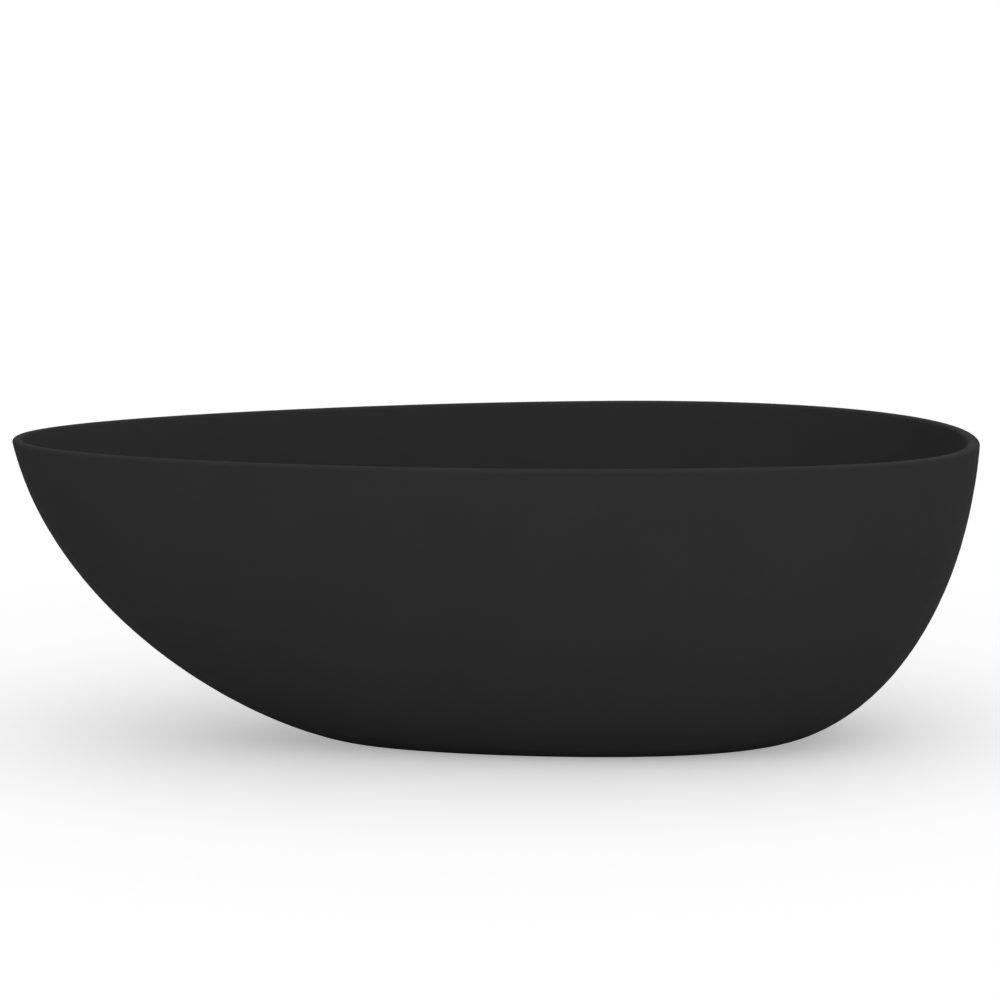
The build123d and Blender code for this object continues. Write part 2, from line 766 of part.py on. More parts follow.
with BuildPart(overflow_plane.offset(cover_standoff)) as overflow_cover:
    Cylinder(cover_radius, cover_depth, align=UP)
    outward = Axis(overflow_point, into_basin)
    fillet(overflow_cover.faces().sort_by(outward)[-1].edges(), cover_rounding)
    Cylinder(cover_radius - cover_wall, cover_depth - cover_face, align=UP, mode=Mode.SUBTRACT)
    Cylinder(cover_boss_radius, cover_depth - cover_wall, align=UP)
    Cylinder(screw_hole_radius, cover_depth, align=UP, mode=Mode.SUBTRACT)
    with Locations((0, 0, cover_depth - screw_head_height)):
        Cylinder(screw_head_radius + screw_recess_gap, screw_head_height, align=UP, mode=Mode.SUBTRACT)
overflow_cover.part.label = "overflow_cover"
export_step(overflow_cover.part, "parts/overflow_cover.step")

screw_seat = cover_standoff + cover_depth - screw_head_height
with BuildPart(overflow_plane.offset(screw_seat)) as overflow_screw:
    Cylinder(screw_head_radius, cover_screw_head_height, align=UP)
    Cylinder(screw_radius, screw_seat + body_standoff + 2, align=DOWN)
    with BuildSketch(overflow_plane.offset(screw_seat + cover_screw_head_height)):
        RegularPolygon(hex_socket_radius, 6, major_radius=False)
    extrude(amount=-hex_socket_depth, mode=Mode.SUBTRACT)
overflow_screw.part.label = "overflow_screw"
export_step(overflow_screw.part, "parts/overflow_screw.step")

# ---------------------------------------------------------------- overflow hose
hose_start = spigot_root + (body_radius + hose_stop) * down_wall
hose_end_x = drain_x + seal_radius + 2
hose_points = [
    hose_start,
    hose_start + hose_first_run * down_wall,
    Vector(762, 0, 262),
    Vector(700, 0, 180),
    Vector(618, 0, 118),
    Vector(535, 0, 103),
    Vector(455, 0, waste_spigot_height),
    Vector(hose_end_x, 0, waste_spigot_height),
]
hose_runs = [b - a for a, b in zip(hose_points, hose_points[1:])]
hose_bends = []
for before, after in zip(hose_runs, hose_runs[1:]):
    half_turn = radians(before.get_angle(after)) / 2
    hose_bends.append(hose_arc_share * min(before.length, after.length) / tan(half_turn))
print("hose bend radii", [round(bend) for bend in hose_bends])

with BuildPart() as overflow_hose:
    with BuildLine() as hose_route:
        FilletPolyline(*hose_points, radius=hose_bends)
    with BuildSketch(Plane(hose_start, x_dir=(0, 1, 0), z_dir=hose_runs[0])):
        Circle(hose_outer_radius)
        Circle(hose_inner_radius, mode=Mode.SUBTRACT)
    sweep()
overflow_hose.part.label = "overflow_hose"
export_step(overflow_hose.part, "parts/overflow_hose.step")

with BuildPart() as hose_clips:
    for middle, along in (
        (hose_start + clip_inset * down_wall, down_wall),
        (Vector(hose_end_x + clip_inset, 0, waste_spigot_height), Vector(1, 0, 0)),
    ):
        with Locations(Plane(middle, x_dir=(0, 1, 0), z_dir=along)):
            Cylinder(clip_radius, clip_width)
            with Locations((clip_radius, 0, 0)):
                Box(*clip_screw_size, clip_width)
            Cylinder(hose_outer_radius + clip_gap, clip_width, mode=Mode.SUBTRACT)
hose_clips.part.label = "hose_clips"
export_step(hose_clips.part, "parts/hose_clips.step")

# ---------------------------------------------------------------- trap
with BuildPart(Plane((drain_x, 0, trap_top))) as trap_washer:
    Cylinder(tail_radius, washer_thickness, align=UP)
    Cylinder(tail_bore_radius, washer_thickness, align=UP, mode=Mode.SUBTRACT)
trap_washer.part.label = "trap_washer"
export_step(trap_washer.part, "parts/trap_washer.step")

with BuildPart() as trap_nut:
    with BuildSketch(drain_section):
        with BuildLine():
            Polyline(
                (nut_inner_radius, nut_bottom),
                (nut_radius, nut_bottom),
                (nut_radius, nut_top - nut_edge),
                (nut_radius - nut_edge, nut_top),
                (tail_radius + nut_slip_gap, nut_top),
                (tail_radius + nut_slip_gap, nut_top - nut_roof),
                (nut_inner_radius, nut_top - nut_roof),
                close=True,
            )
        make_face()
    revolve(axis=drain_axis)
    with Locations((drain_x, 0, nut_bottom)):
        with PolarLocations(nut_radius + nut_edge, nut_grip_count):
            Cylinder(nut_grip_radius, nut_top - nut_bottom, align=UP, mode=Mode.SUBTRACT)
trap_nut.part.label = "trap_nut"
export_step(trap_nut.part, "parts/trap_nut.step")

with BuildPart() as trap_lid:
    with BuildSketch(drain_section):
        with BuildLine():
            Polyline(
                (dip_bore_radius, dip_bottom),
                (dip_radius, dip_bottom),
                (dip_radius, cup_top - lid_spigot_depth),
                (trap_radius - trap_wall - lid_fit_gap, cup_top - lid_spigot_depth),
                (trap_radius - trap_wall - lid_fit_gap, cup_top + trap_seal_thickness),
                (trap_radius + lid_lip, cup_top + trap_seal_thickness),
                (trap_radius + lid_lip, trap_top),
                (lid_neck_radius, trap_top),
                (lid_neck_radius, trap_top + lid_neck_height),
                (tail_radius + nut_slip_gap, trap_top + lid_neck_height),
                (tail_radius + nut_slip_gap, trap_top),
                (dip_bore_radius, trap_top),
                close=True,
            )
        make_face()
    revolve(axis=drain_axis)
trap_lid.part.label = "trap_lid"
export_step(trap_lid.part, "parts/trap_lid.step")

with BuildPart(Plane((drain_x, 0, cup_top))) as trap_seal:
    Cylinder(trap_radius, trap_seal_thickness, align=UP)
    Cylinder(trap_radius - trap_wall, trap_seal_thickness, align=UP, mode=Mode.SUBTRACT)
trap_seal.part.label = "trap_seal"
export_step(trap_seal.part, "parts/trap_seal.step")

with BuildPart() as trap_cup:
    with BuildSketch(drain_section):
        with BuildLine():
            Polyline(
                (0, trap_floor),
                (trap_radius - trap_edge, trap_floor),
                (trap_radius, trap_floor + trap_edge),
                (trap_radius, cup_top),
                (trap_radius - trap_wall, cup_top),
                (trap_radius - trap_wall, trap_floor + trap_wall),
                (weir_radius + weir_wall, trap_floor + trap_wall),
                (weir_radius + weir_wall, weir_top),
                (weir_radius, weir_top),
                (weir_radius, trap_floor + trap_wall),
                (0, trap_floor + trap_wall),
                close=True,
            )
        make_face()
    revolve(axis=drain_axis)
    with Locations(Plane((drain_x - trap_radius + 2, 0, outlet_height), z_dir=(-1, 0, 0))):
        Cylinder(outlet_radius, outlet_length + 2, align=UP)
    with Locations(Plane((drain_x - trap_radius + 8, 0, outlet_height), z_dir=(-1, 0, 0))):
        Cylinder(outlet_radius - outlet_wall, outlet_length + 8, align=UP, mode=Mode.SUBTRACT)
    outlet_rim = trap_cup.faces().filter_by(GeomType.PLANE).sort_by(Axis.X)[0]
    chamfer(outlet_rim.edges().sort_by(SortBy.LENGTH)[-1], outlet_chamfer)
trap_cup.part.label = "trap_cup"
export_step(trap_cup.part, "parts/trap_cup.step")
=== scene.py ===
import bpy
import json
from math import cos, pi, radians, sin, tau
from mathutils import Matrix, Vector


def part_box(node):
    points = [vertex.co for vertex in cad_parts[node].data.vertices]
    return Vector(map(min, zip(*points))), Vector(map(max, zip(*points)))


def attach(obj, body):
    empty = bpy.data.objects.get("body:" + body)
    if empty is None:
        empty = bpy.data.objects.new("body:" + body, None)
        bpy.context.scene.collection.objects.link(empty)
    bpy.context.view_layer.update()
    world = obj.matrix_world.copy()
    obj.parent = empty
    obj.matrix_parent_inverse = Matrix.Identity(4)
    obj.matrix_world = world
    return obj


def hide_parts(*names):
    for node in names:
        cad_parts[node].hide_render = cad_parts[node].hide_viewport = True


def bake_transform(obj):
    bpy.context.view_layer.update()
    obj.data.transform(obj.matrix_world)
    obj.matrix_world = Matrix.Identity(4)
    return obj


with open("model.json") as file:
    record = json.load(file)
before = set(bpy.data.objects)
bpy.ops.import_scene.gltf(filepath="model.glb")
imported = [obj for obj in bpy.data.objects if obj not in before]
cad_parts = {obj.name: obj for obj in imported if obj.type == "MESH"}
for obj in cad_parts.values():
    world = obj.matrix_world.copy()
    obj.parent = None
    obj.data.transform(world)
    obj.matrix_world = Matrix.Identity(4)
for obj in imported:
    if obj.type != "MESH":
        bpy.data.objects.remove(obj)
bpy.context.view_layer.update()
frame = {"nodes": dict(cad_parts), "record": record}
nodes = frame["nodes"]
MM = 0.001

# ---------------------------------------------------------------- camera, light and floor
CAMERA_DISTANCE = 10.0
CAMERA_HEIGHT = 2.05
CAMERA_YAW = 0.0477
CAMERA_PITCH = 0.1596
CAMERA_SIDE = -0.0064
CAMERA_LENS = 201.2
DOME_STRENGTH = 0.96
DOME_LEAN = (0.11, -0.30, -0.91)
DOME_CURVE = (-0.64, 0.0, 0.88)
FLOOR_SIZE = 160
FLOOR_SHADE = 1.0
FLOOR_GLOW = 0.375
FLOOR_BOUNCE = 0.6


def make_camera():
    """A long lens from the front, a little above the rim and slightly from the head end."""
    camera = bpy.data.objects.new("camera", bpy.data.cameras.new("camera"))
    bpy.context.scene.collection.objects.link(camera)
    camera.data.lens = CAMERA_LENS
    camera.data.clip_end = FLOOR_SIZE
    camera.location = (
        -CAMERA_SIDE * cos(CAMERA_YAW) - CAMERA_DISTANCE * sin(CAMERA_YAW),
        CAMERA_SIDE * sin(CAMERA_YAW) - CAMERA_DISTANCE * cos(CAMERA_YAW),
        CAMERA_HEIGHT,
    )
    camera.rotation_euler = (pi / 2 - CAMERA_PITCH, 0, -CAMERA_YAW)
    bpy.context.scene.camera = camera


def make_lights():
    """White dome, as in a light tent: brightest low in front and overhead, dimmer at the two ends."""
    world = bpy.data.worlds.new("studio")
    bpy.context.scene.world = world
    world.use_nodes = True
    tree = world.node_tree
    way = tree.nodes.new("ShaderNodeTexCoord").outputs["Generated"]
    square = tree.nodes.new("ShaderNodeVectorMath")
    square.operation = "MULTIPLY"
    tree.links.new(way, square.inputs[0])
    tree.links.new(way, square.inputs[1])
    strength = None
    for direction, weights in ((way, DOME_LEAN), (square.outputs[0], DOME_CURVE)):
        share = tree.nodes.new("ShaderNodeVectorMath")
        share.operation = "DOT_PRODUCT"
        share.inputs[1].default_value = weights
        tree.links.new(direction, share.inputs[0])
        total = tree.nodes.new("ShaderNodeMath")
        total.inputs[1].default_value = DOME_STRENGTH
        tree.links.new(share.outputs["Value"], total.inputs[0])
        if strength:
            tree.links.new(strength, total.inputs[1])
        strength = total.outputs[0]
    background = tree.nodes["Background"]
    background.inputs["Color"].default_value = (1, 1, 1, 1)
    tree.links.new(strength, background.inputs["Strength"])


def make_floor():
    """Seamless white sweep. It shows a pale shadow, and returns only a little light to the tub."""
    bpy.ops.mesh.primitive_plane_add(size=FLOOR_SIZE, location=(0, 0, 0))
    floor = bpy.context.active_object
    floor.name = "studio_floor"
    material = bpy.data.materials.new("studio_floor")
    material.use_nodes = True
    tree = material.node_tree
    tree.nodes.clear()
    output = tree.nodes.new("ShaderNodeOutputMaterial")
    pale = tree.nodes.new("ShaderNodeBsdfDiffuse")
    pale.inputs["Color"].default_value = (FLOOR_SHADE, FLOOR_SHADE, FLOOR_SHADE, 1)
    glow = tree.nodes.new("ShaderNodeEmission")
    glow.inputs["Strength"].default_value = FLOOR_GLOW
    seen = tree.nodes.new("ShaderNodeAddShader")
    bounce = tree.nodes.new("ShaderNodeBsdfDiffuse")
    bounce.inputs["Color"].default_value = (FLOOR_BOUNCE, FLOOR_BOUNCE, FLOOR_BOUNCE, 1)
    ray = tree.nodes.new("ShaderNodeLightPath")
    mix = tree.nodes.new("ShaderNodeMixShader")
    tree.links.new(pale.outputs[0], seen.inputs[0])
    tree.links.new(glow.outputs[0], seen.inputs[1])
    tree.links.new(ray.outputs["Is Camera Ray"], mix.inputs[0])
    tree.links.new(bounce.outputs[0], mix.inputs[1])
    tree.links.new(seen.outputs[0], mix.inputs[2])
    tree.links.new(mix.outputs[0], output.inputs[0])
    floor.data.materials.append(material)


# ---------------------------------------------------------------- material parts
NOISE_LOW = 0.3
NOISE_HIGH = 0.7


class Surface:
    """One node material, patterned in object space, so that its scales are per metre."""

    def __init__(self, name, metallic=0.0, specular=0.5):
        self.material = bpy.data.materials.new(name)
        self.material.use_nodes = True
        self.tree = self.material.node_tree
        self.shader = self.tree.nodes["Principled BSDF"]
        self.shader.inputs["Metallic"].default_value = metallic
        self.shader.inputs["Specular IOR Level"].default_value = specular
        self.place = self.tree.nodes.new("ShaderNodeTexCoord").outputs["Object"]
        self.relief = None

    def stretched(self, scale):
        """Object space, squeezed by a scale per axis."""
        mapping = self.tree.nodes.new("ShaderNodeMapping")
        mapping.inputs["Scale"].default_value = scale
        self.tree.links.new(self.place, mapping.inputs["Vector"])
        return mapping.outputs["Vector"]

    def noise(self, scale, detail=2.0, place=None):
        node = self.tree.nodes.new("ShaderNodeTexNoise")
        node.inputs["Scale"].default_value = scale
        node.inputs["Detail"].default_value = detail
        self.tree.links.new(place or self.place, node.inputs["Vector"])
        return node.outputs[0]

    def cells(self, scale):
        """A random grey for each cell of a crystal-like pattern."""
        node = self.tree.nodes.new("ShaderNodeTexVoronoi")
        node.inputs["Scale"].default_value = scale
        self.tree.links.new(self.place, node.inputs["Vector"])
        return node.outputs["Color"]

    def bands(self, scale, axis, distortion=0.0):
        """Even bands across one axis."""
        node = self.tree.nodes.new("ShaderNodeTexWave")
        node.bands_direction = axis
        node.inputs["Scale"].default_value = scale
        node.inputs["Distortion"].default_value = distortion
        self.tree.links.new(self.place, node.inputs["Vector"])
        return node.outputs["Fac"]

    def shades(self, factor, dark, light, low=0.35, high=0.65):
        """Colour that goes from dark to light as the factor goes from low to high."""
        ramp = self.tree.nodes.new("ShaderNodeValToRGB")
        ramp.color_ramp.elements[0].position = low
        ramp.color_ramp.elements[1].position = high
        ramp.color_ramp.elements[0].color = (*dark, 1)
        ramp.color_ramp.elements[1].color = (*light, 1)
        self.tree.links.new(factor, ramp.inputs["Fac"])
        return ramp.outputs["Color"]

    def color(self, socket):
        self.tree.links.new(socket, self.shader.inputs["Base Color"])

    def roughness(self, factor, low, high):
        """Roughness that goes from low to high over most of what a noise gives."""
        spread = self.tree.nodes.new("ShaderNodeMapRange")
        spread.inputs["From Min"].default_value = NOISE_LOW
        spread.inputs["From Max"].default_value = NOISE_HIGH
        spread.inputs["To Min"].default_value = low
        spread.inputs["To Max"].default_value = high
        self.tree.links.new(factor, spread.inputs["Value"])
        self.tree.links.new(spread.outputs["Result"], self.shader.inputs["Roughness"])

    def bump(self, factor, depth, strength=1.0):
        """Adds relief of a depth in metres on top of the relief so far."""
        bump = self.tree.nodes.new("ShaderNodeBump")
        bump.inputs["Distance"].default_value = depth
        bump.inputs["Strength"].default_value = strength
        self.tree.links.new(factor, bump.inputs["Height"])
        if self.relief:
            self.tree.links.new(self.relief, bump.inputs["Normal"])
        self.relief = bump.outputs["Normal"]
        self.tree.links.new(self.relief, self.shader.inputs["Normal"])


def grey(value):
    return (value, value, value)


# ---------------------------------------------------------------- materials, one per slot
def matte_black_acrylic():
    """Cast skin with a velvety matte face: hardly any cloud in its black, and a very fine tooth."""
    acrylic = Surface("matte_black_acrylic_skin", specular=0.12)
    acrylic.color(acrylic.shades(acrylic.noise(scale=7, detail=3), grey(0.0390), grey(0.0408)))
    acrylic.roughness(acrylic.noise(scale=38, detail=3), low=0.76, high=0.84)
    acrylic.bump(acrylic.noise(scale=28, detail=1), depth=0.00004, strength=0.5)
    acrylic.bump(acrylic.noise(scale=2600, detail=1), depth=0.00002, strength=0.5)
    return acrylic.material


# The Mix node has sockets of one name for each data type, so its colour ones are known by their places.
MIX_COLOR_A = 6
MIX_COLOR_B = 7
MIX_COLOR_RESULT = 2


def underfloor_board():
    """Birch plywood, sealed: long grain on its faces and plies along its edge."""
    board = Surface("underfloor_board_plywood", specular=0.35)
    grain = board.noise(scale=1.0, detail=6, place=board.stretched((4, 130, 40)))
    face = board.shades(grain, (0.36, 0.23, 0.12), (0.58, 0.43, 0.26), low=0.3, high=0.7)
    layers = board.bands(scale=260, axis="Z", distortion=0.4)
    plies = board.shades(layers, (0.24, 0.14, 0.07), (0.60, 0.45, 0.28))
    normal = board.tree.nodes.new("ShaderNodeNewGeometry").outputs["Normal"]
    upright = board.tree.nodes.new("ShaderNodeSeparateXYZ")
    board.tree.links.new(normal, upright.inputs[0])
    steep = board.tree.nodes.new("ShaderNodeMath")
    steep.operation = "ABSOLUTE"
    board.tree.links.new(upright.outputs["Z"], steep.inputs[0])
    mix = board.tree.nodes.new("ShaderNodeMix")
    mix.data_type = "RGBA"
    board.tree.links.new(steep.outputs[0], mix.inputs["Factor"])
    board.tree.links.new(plies, mix.inputs[MIX_COLOR_A])
    board.tree.links.new(face, mix.inputs[MIX_COLOR_B])
    board.color(mix.outputs[MIX_COLOR_RESULT])
    board.roughness(board.noise(scale=60, detail=3), low=0.42, high=0.60)
    board.bump(grain, depth=0.00015, strength=0.6)
    return board.material


def frame_paint():
    """Black powder coat over steel, with its orange-peel relief and a trace of dust."""
    coat = Surface("frame_paint_powder_coat", specular=0.45)
    coat.color(coat.shades(coat.noise(scale=35, detail=4), grey(0.035), grey(0.062), low=0.4, high=0.75))
    coat.roughness(coat.noise(scale=180, detail=2), low=0.34, high=0.5)
    coat.bump(coat.noise(scale=650, detail=1), depth=0.00012, strength=0.7)
    return coat.material


def zinc_steel():
    """Electroplated zinc: pale, slightly blue, with faint crystal patches."""
    plate = Surface("zinc_steel_plated", metallic=1.0)
    crystals = plate.cells(scale=420)
    plate.color(plate.shades(crystals, (0.52, 0.53, 0.54), (0.66, 0.67, 0.66), low=0.2, high=0.9))
    plate.roughness(plate.noise(scale=260, detail=4), low=0.26, high=0.44)
    plate.bump(plate.noise(scale=1500, detail=2), depth=0.00003, strength=0.5)
    return plate.material


def foot_plastic():
    """Black glass-filled nylon, with moulding grain and slightly scuffed high spots."""
    nylon = Surface("foot_plastic_nylon", specular=0.4)
    nylon.color(nylon.shades(nylon.noise(scale=240, detail=5), grey(0.024), grey(0.046), low=0.35, high=0.8))
    nylon.roughness(nylon.noise(scale=420, detail=3), low=0.5, high=0.68)
    nylon.bump(nylon.noise(scale=1800, detail=2), depth=0.00006, strength=0.6)
    return nylon.material


def matte_black_metal():
    """Black plating on brass: silky, with the faintest brushed lines."""
    plate = Surface("matte_black_metal_plated", metallic=0.25, specular=0.35)
    lines = plate.noise(scale=1.0, detail=3, place=plate.stretched((160, 2600, 160)))
    plate.color(plate.shades(lines, grey(0.026), grey(0.034)))
    plate.roughness(plate.noise(scale=130, detail=3), low=0.34, high=0.44)
    plate.bump(lines, depth=0.00001, strength=0.6)
    return plate.material


def brass():
    """Turned brass, with tool rings along its axis and a little tarnish."""
    metal = Surface("brass_turned", metallic=1.0)
    metal.color(metal.shades(metal.noise(scale=150, detail=4), (0.58, 0.40, 0.16), (0.78, 0.60, 0.29)))
    metal.roughness(metal.noise(scale=300, detail=3), low=0.20, high=0.36)
    metal.bump(metal.bands(scale=900, axis="Z", distortion=0.3), depth=0.00003, strength=0.6)
    return metal.material


def spring_steel():
    """Drawn stainless wire, with fine lines."""
    wire = Surface("spring_steel_drawn", metallic=1.0)
    wire.color(wire.shades(wire.noise(scale=700, detail=3), (0.50, 0.50, 0.52), (0.68, 0.68, 0.70)))
    wire.roughness(wire.noise(scale=900, detail=2), low=0.18, high=0.32)
    wire.bump(wire.noise(scale=3000, detail=1), depth=0.00001, strength=0.6)
    return wire.material


def black_rubber():
    """EPDM rubber: deep black with a dusty bloom."""
    rubber = Surface("black_rubber_moulded", specular=0.3)
    bloom = rubber.noise(scale=320, detail=6)
    rubber.color(rubber.shades(bloom, grey(0.014), grey(0.036), low=0.35, high=0.85))
    rubber.roughness(rubber.noise(scale=500, detail=3), low=0.66, high=0.86)
    rubber.bump(rubber.noise(scale=1400, detail=3), depth=0.00005, strength=0.6)
    return rubber.material


def white_plastic():
    """Moulded polypropylene: slightly translucent white with a fine eroded face."""
    resin = Surface("white_plastic_moulded", specular=0.45)
    resin.shader.inputs["Subsurface Weight"].default_value = 0.08
    resin.shader.inputs["Subsurface Radius"].default_value = (0.004, 0.004, 0.003)
    resin.color(resin.shades(resin.noise(scale=55, detail=3), (0.74, 0.74, 0.71), (0.82, 0.82, 0.80)))
    resin.roughness(resin.noise(scale=200, detail=3), low=0.36, high=0.50)
    resin.bump(resin.noise(scale=2200, detail=1), depth=0.00003, strength=0.6)
    return resin.material


def hose_plastic():
    """Flexible grey vinyl, a little uneven in tone."""
    vinyl = Surface("hose_plastic_vinyl", specular=0.5)
    vinyl.color(vinyl.shades(vinyl.noise(scale=70, detail=4), (0.46, 0.47, 0.48), (0.58, 0.59, 0.60)))
    vinyl.roughness(vinyl.noise(scale=240, detail=2), low=0.36, high=0.52)
    vinyl.bump(vinyl.noise(scale=1600, detail=2), depth=0.00004, strength=0.5)
    return vinyl.material


SLOT_MATERIALS = {
    "matte_black_acrylic": matte_black_acrylic(),
    "underfloor_board": underfloor_board(),
    "frame_paint": frame_paint(),
    "zinc_steel": zinc_steel(),
    "foot_plastic": foot_plastic(),
    "matte_black_metal": matte_black_metal(),
    "brass": brass(),
    "spring_steel": spring_steel(),
    "black_rubber": black_rubber(),
    "white_plastic": white_plastic(),
    "hose_plastic": hose_plastic(),
}


def dress_cad_nodes():
    """Each CAD node takes its slot's node material."""
    for subpart in frame["record"]["subparts"]:
        for holder in nodes[subpart["node"]].material_slots:
            holder.material = SLOT_MATERIALS[subpart["material_slot"]]


# ---------------------------------------------------------------- mesh parts
def circle(radius):
    """Outline of constant radius."""
    return lambda turn: radius


def hexagon(flat, limit):
    """Outline of a hexagon, half its width across flats given, with its corners cut to a limit."""
    return lambda turn: min(flat / cos((turn + pi / 6) % (pi / 3) - pi / 6), limit)


def cross(inner, outer):
    """Outline of a cross recess."""
    return lambda turn: inner + (outer - inner) * abs(cos(2 * turn)) ** 6


def ring(level, outline, sides, shift=0.0):
    """One closed ring of points about +Z."""
    points = []
    for step in range(sides):
        turn = tau * step / sides
        radius = outline(turn + shift)
        points.append(Vector((radius * cos(turn), radius * sin(turn), level)))
    return points


THREAD_ROOT_SHARE = 0.12
THREAD_FLANK_SHARE = 0.76


def thread_rings(low, high, major, minor, pitch, sides, rows=8):
    """Right-hand thread between two levels, fading out over its last turn at each end."""
    count = round((high - low) / pitch * rows)
    rings = []
    for row in range(count + 1):
        level = low + (high - low) * row / count
        fade = min(1, (level - low) / pitch, (high - level) / pitch)
        points = []
        for step in range(sides):
            phase = ((level - low) / pitch - step / sides) % 1
            ridge = min(1, max(0, (abs(2 * phase - 1) - THREAD_ROOT_SHARE) / THREAD_FLANK_SHARE))
            radius = minor + (major - minor) * ridge * fade
            turn = tau * step / sides
            points.append(Vector((radius * cos(turn), radius * sin(turn), level)))
        rings.append(points)
    return rings


def skin(vertices, faces, rings, matrix=None, loop=False):
    """Adds a surface through rings of equal count, capped at both ends or joined into a loop."""
    start = len(vertices)
    sides = len(rings[0])
    for points in rings:
        vertices.extend(matrix @ point if matrix else point for point in points)
    for row in range(len(rings) if loop else len(rings) - 1):
        here = start + row * sides
        there = start + (row + 1) % len(rings) * sides
        for step in range(sides):
            after = (step + 1) % sides
            faces.append((here + step, here + after, there + after, there + step))
    if not loop:
        faces.append(tuple(start + step for step in reversed(range(sides))))
        last = start + (len(rings) - 1) * sides
        faces.append(tuple(last + step for step in range(sides)))


def add_piece(name, vertices, faces, body, slot, replaced=(), crease=35):
    """Makes a piece of points and faces. It rides on a body, if one is given, and may replace CAD nodes."""
    mesh = bpy.data.meshes.new(name)
    mesh.from_pydata(vertices, [], faces)
    mesh.validate()
    mesh.materials.append(SLOT_MATERIALS[slot])
    mesh.polygons.foreach_set("use_smooth", [True] * len(mesh.polygons))
    mesh.set_sharp_from_angle(angle=radians(crease))
    mesh.update()
    piece = bpy.data.objects.new(name, mesh)
    bpy.context.scene.collection.objects.link(piece)
    if body:
        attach(piece, body)
    if replaced:
        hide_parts(*replaced)
    return piece


def facing(place, way, side=(1, 0, 0)):
    """Matrix that stands +Z of a shape along a way, at a place."""
    up = Vector(way).normalized()
    across = Vector(side)
    across = (across - across.dot(up) * up).normalized()
    matrix = Matrix((across, up.cross(across), up)).transposed().to_4x4()
    matrix.translation = Vector(place)
    return matrix


# ---------------------------------------------------------------- levelling feet
FOOT_COUNT = 5
FOOT_SIDES = 48
STUD_MAJOR = 5.95 * MM
STUD_MINOR = 5.15 * MM
STUD_PITCH = 1.75 * MM
STUD_TIP_RADIUS = STUD_MINOR - 0.8 * MM
STUD_TIP_HEIGHT = 0.6 * MM
STUD_RUN_OUT = 0.4 * MM
DISC_RADIUS = 7.4 * MM
DISC_FOOT_RADIUS = 5.0 * MM
DISC_EDGE_RADIUS = 6.6 * MM
DISC_EDGE_RISE = 0.7 * MM
DISC_FULL_RISE = 2 * MM
DISC_HEIGHT = 11 * MM
DISC_TOP_EDGE = 0.5 * MM
SPANNER_FLAT = 8.5 * MM
SPANNER_GAP = 0.3 * MM
SPANNER_HEIGHT = 6.5 * MM
SPANNER_CHAMFER = 0.9 * MM
CHAMFER_INSET = 0.3 * MM
SPANNER_CORNER_CUT = 0.2 * MM
NUT_FLAT = 9.5 * MM
NUT_BORE = 6.0 * MM
NUT_CHAMFER = 0.9 * MM
BORE_CHAMFER = 0.6 * MM
LOCK_NUT_TURN = radians(15)


def foot_middle(number):
    low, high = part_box(f"foot_pad_{number}")
    return (low[0] + high[0]) / 2, (low[1] + high[1]) / 2


def make_foot_stud(number):
    """Threaded stud: a swivel disc in the pad's socket, spanner flats and an M12 thread."""
    foot_x, foot_y = foot_middle(number)
    low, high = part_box(f"foot_stud_{number}")
    disc_low = low[2]
    disc_high = disc_low + DISC_HEIGHT
    flats_low = disc_high + SPANNER_GAP
    flats_high = flats_low + SPANNER_HEIGHT
    flats = hexagon(SPANNER_FLAT, SPANNER_FLAT / cos(pi / 6) - SPANNER_CORNER_CUT)
    profile = [
        (disc_low, circle(DISC_FOOT_RADIUS)),
        (disc_low + DISC_EDGE_RISE, circle(DISC_EDGE_RADIUS)),
        (disc_low + DISC_FULL_RISE, circle(DISC_RADIUS)),
        (disc_high - DISC_TOP_EDGE, circle(DISC_RADIUS)),
        (disc_high, circle(DISC_RADIUS - DISC_TOP_EDGE)),
        (disc_high, circle(STUD_MAJOR)),
        (flats_low, circle(STUD_MAJOR)),
        (flats_low, circle(SPANNER_FLAT - CHAMFER_INSET)),
        (flats_low + SPANNER_CHAMFER, flats),
        (flats_high - SPANNER_CHAMFER, flats),
        (flats_high, circle(SPANNER_FLAT - CHAMFER_INSET)),
        (flats_high, circle(STUD_MINOR)),
    ]
    rings = [ring(level, outline, FOOT_SIDES) for level, outline in profile]
    thread_low = flats_high + STUD_RUN_OUT
    thread_high = high[2] - STUD_TIP_HEIGHT
    rings += thread_rings(thread_low, thread_high, STUD_MAJOR, STUD_MINOR, STUD_PITCH, FOOT_SIDES)
    rings.append(ring(high[2], circle(STUD_TIP_RADIUS), FOOT_SIDES))
    vertices, faces = [], []
    skin(vertices, faces, rings, Matrix.Translation((foot_x, foot_y, 0)))
    name = f"foot_stud_{number}"
    add_piece(f"threaded_{name}", vertices, faces, name, "zinc_steel", (name,))


def make_nuts(node, turn):
    """One hexagon nut per foot, with the usual chamfer on its corners and in its bore."""
    low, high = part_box(node)
    vertices, faces = [], []
    hexagonal = hexagon(NUT_FLAT, NUT_FLAT / cos(pi / 6))
    profile = [
        (low[2] + BORE_CHAMFER, circle(NUT_BORE)),
        (low[2], circle(NUT_BORE + BORE_CHAMFER)),
        (low[2], circle(NUT_FLAT - CHAMFER_INSET)),
        (low[2] + NUT_CHAMFER, hexagonal),
        (high[2] - NUT_CHAMFER, hexagonal),
        (high[2], circle(NUT_FLAT - CHAMFER_INSET)),
        (high[2], circle(NUT_BORE + BORE_CHAMFER)),
        (high[2] - BORE_CHAMFER, circle(NUT_BORE)),
    ]
    rings = [ring(level, outline, FOOT_SIDES, turn) for level, outline in profile]
    for number in range(1, FOOT_COUNT + 1):
        skin(vertices, faces, rings, Matrix.Translation((*foot_middle(number), 0)), loop=True)
    add_piece(f"chamfered_{node}", vertices, faces, "tub", "zinc_steel", (node,))


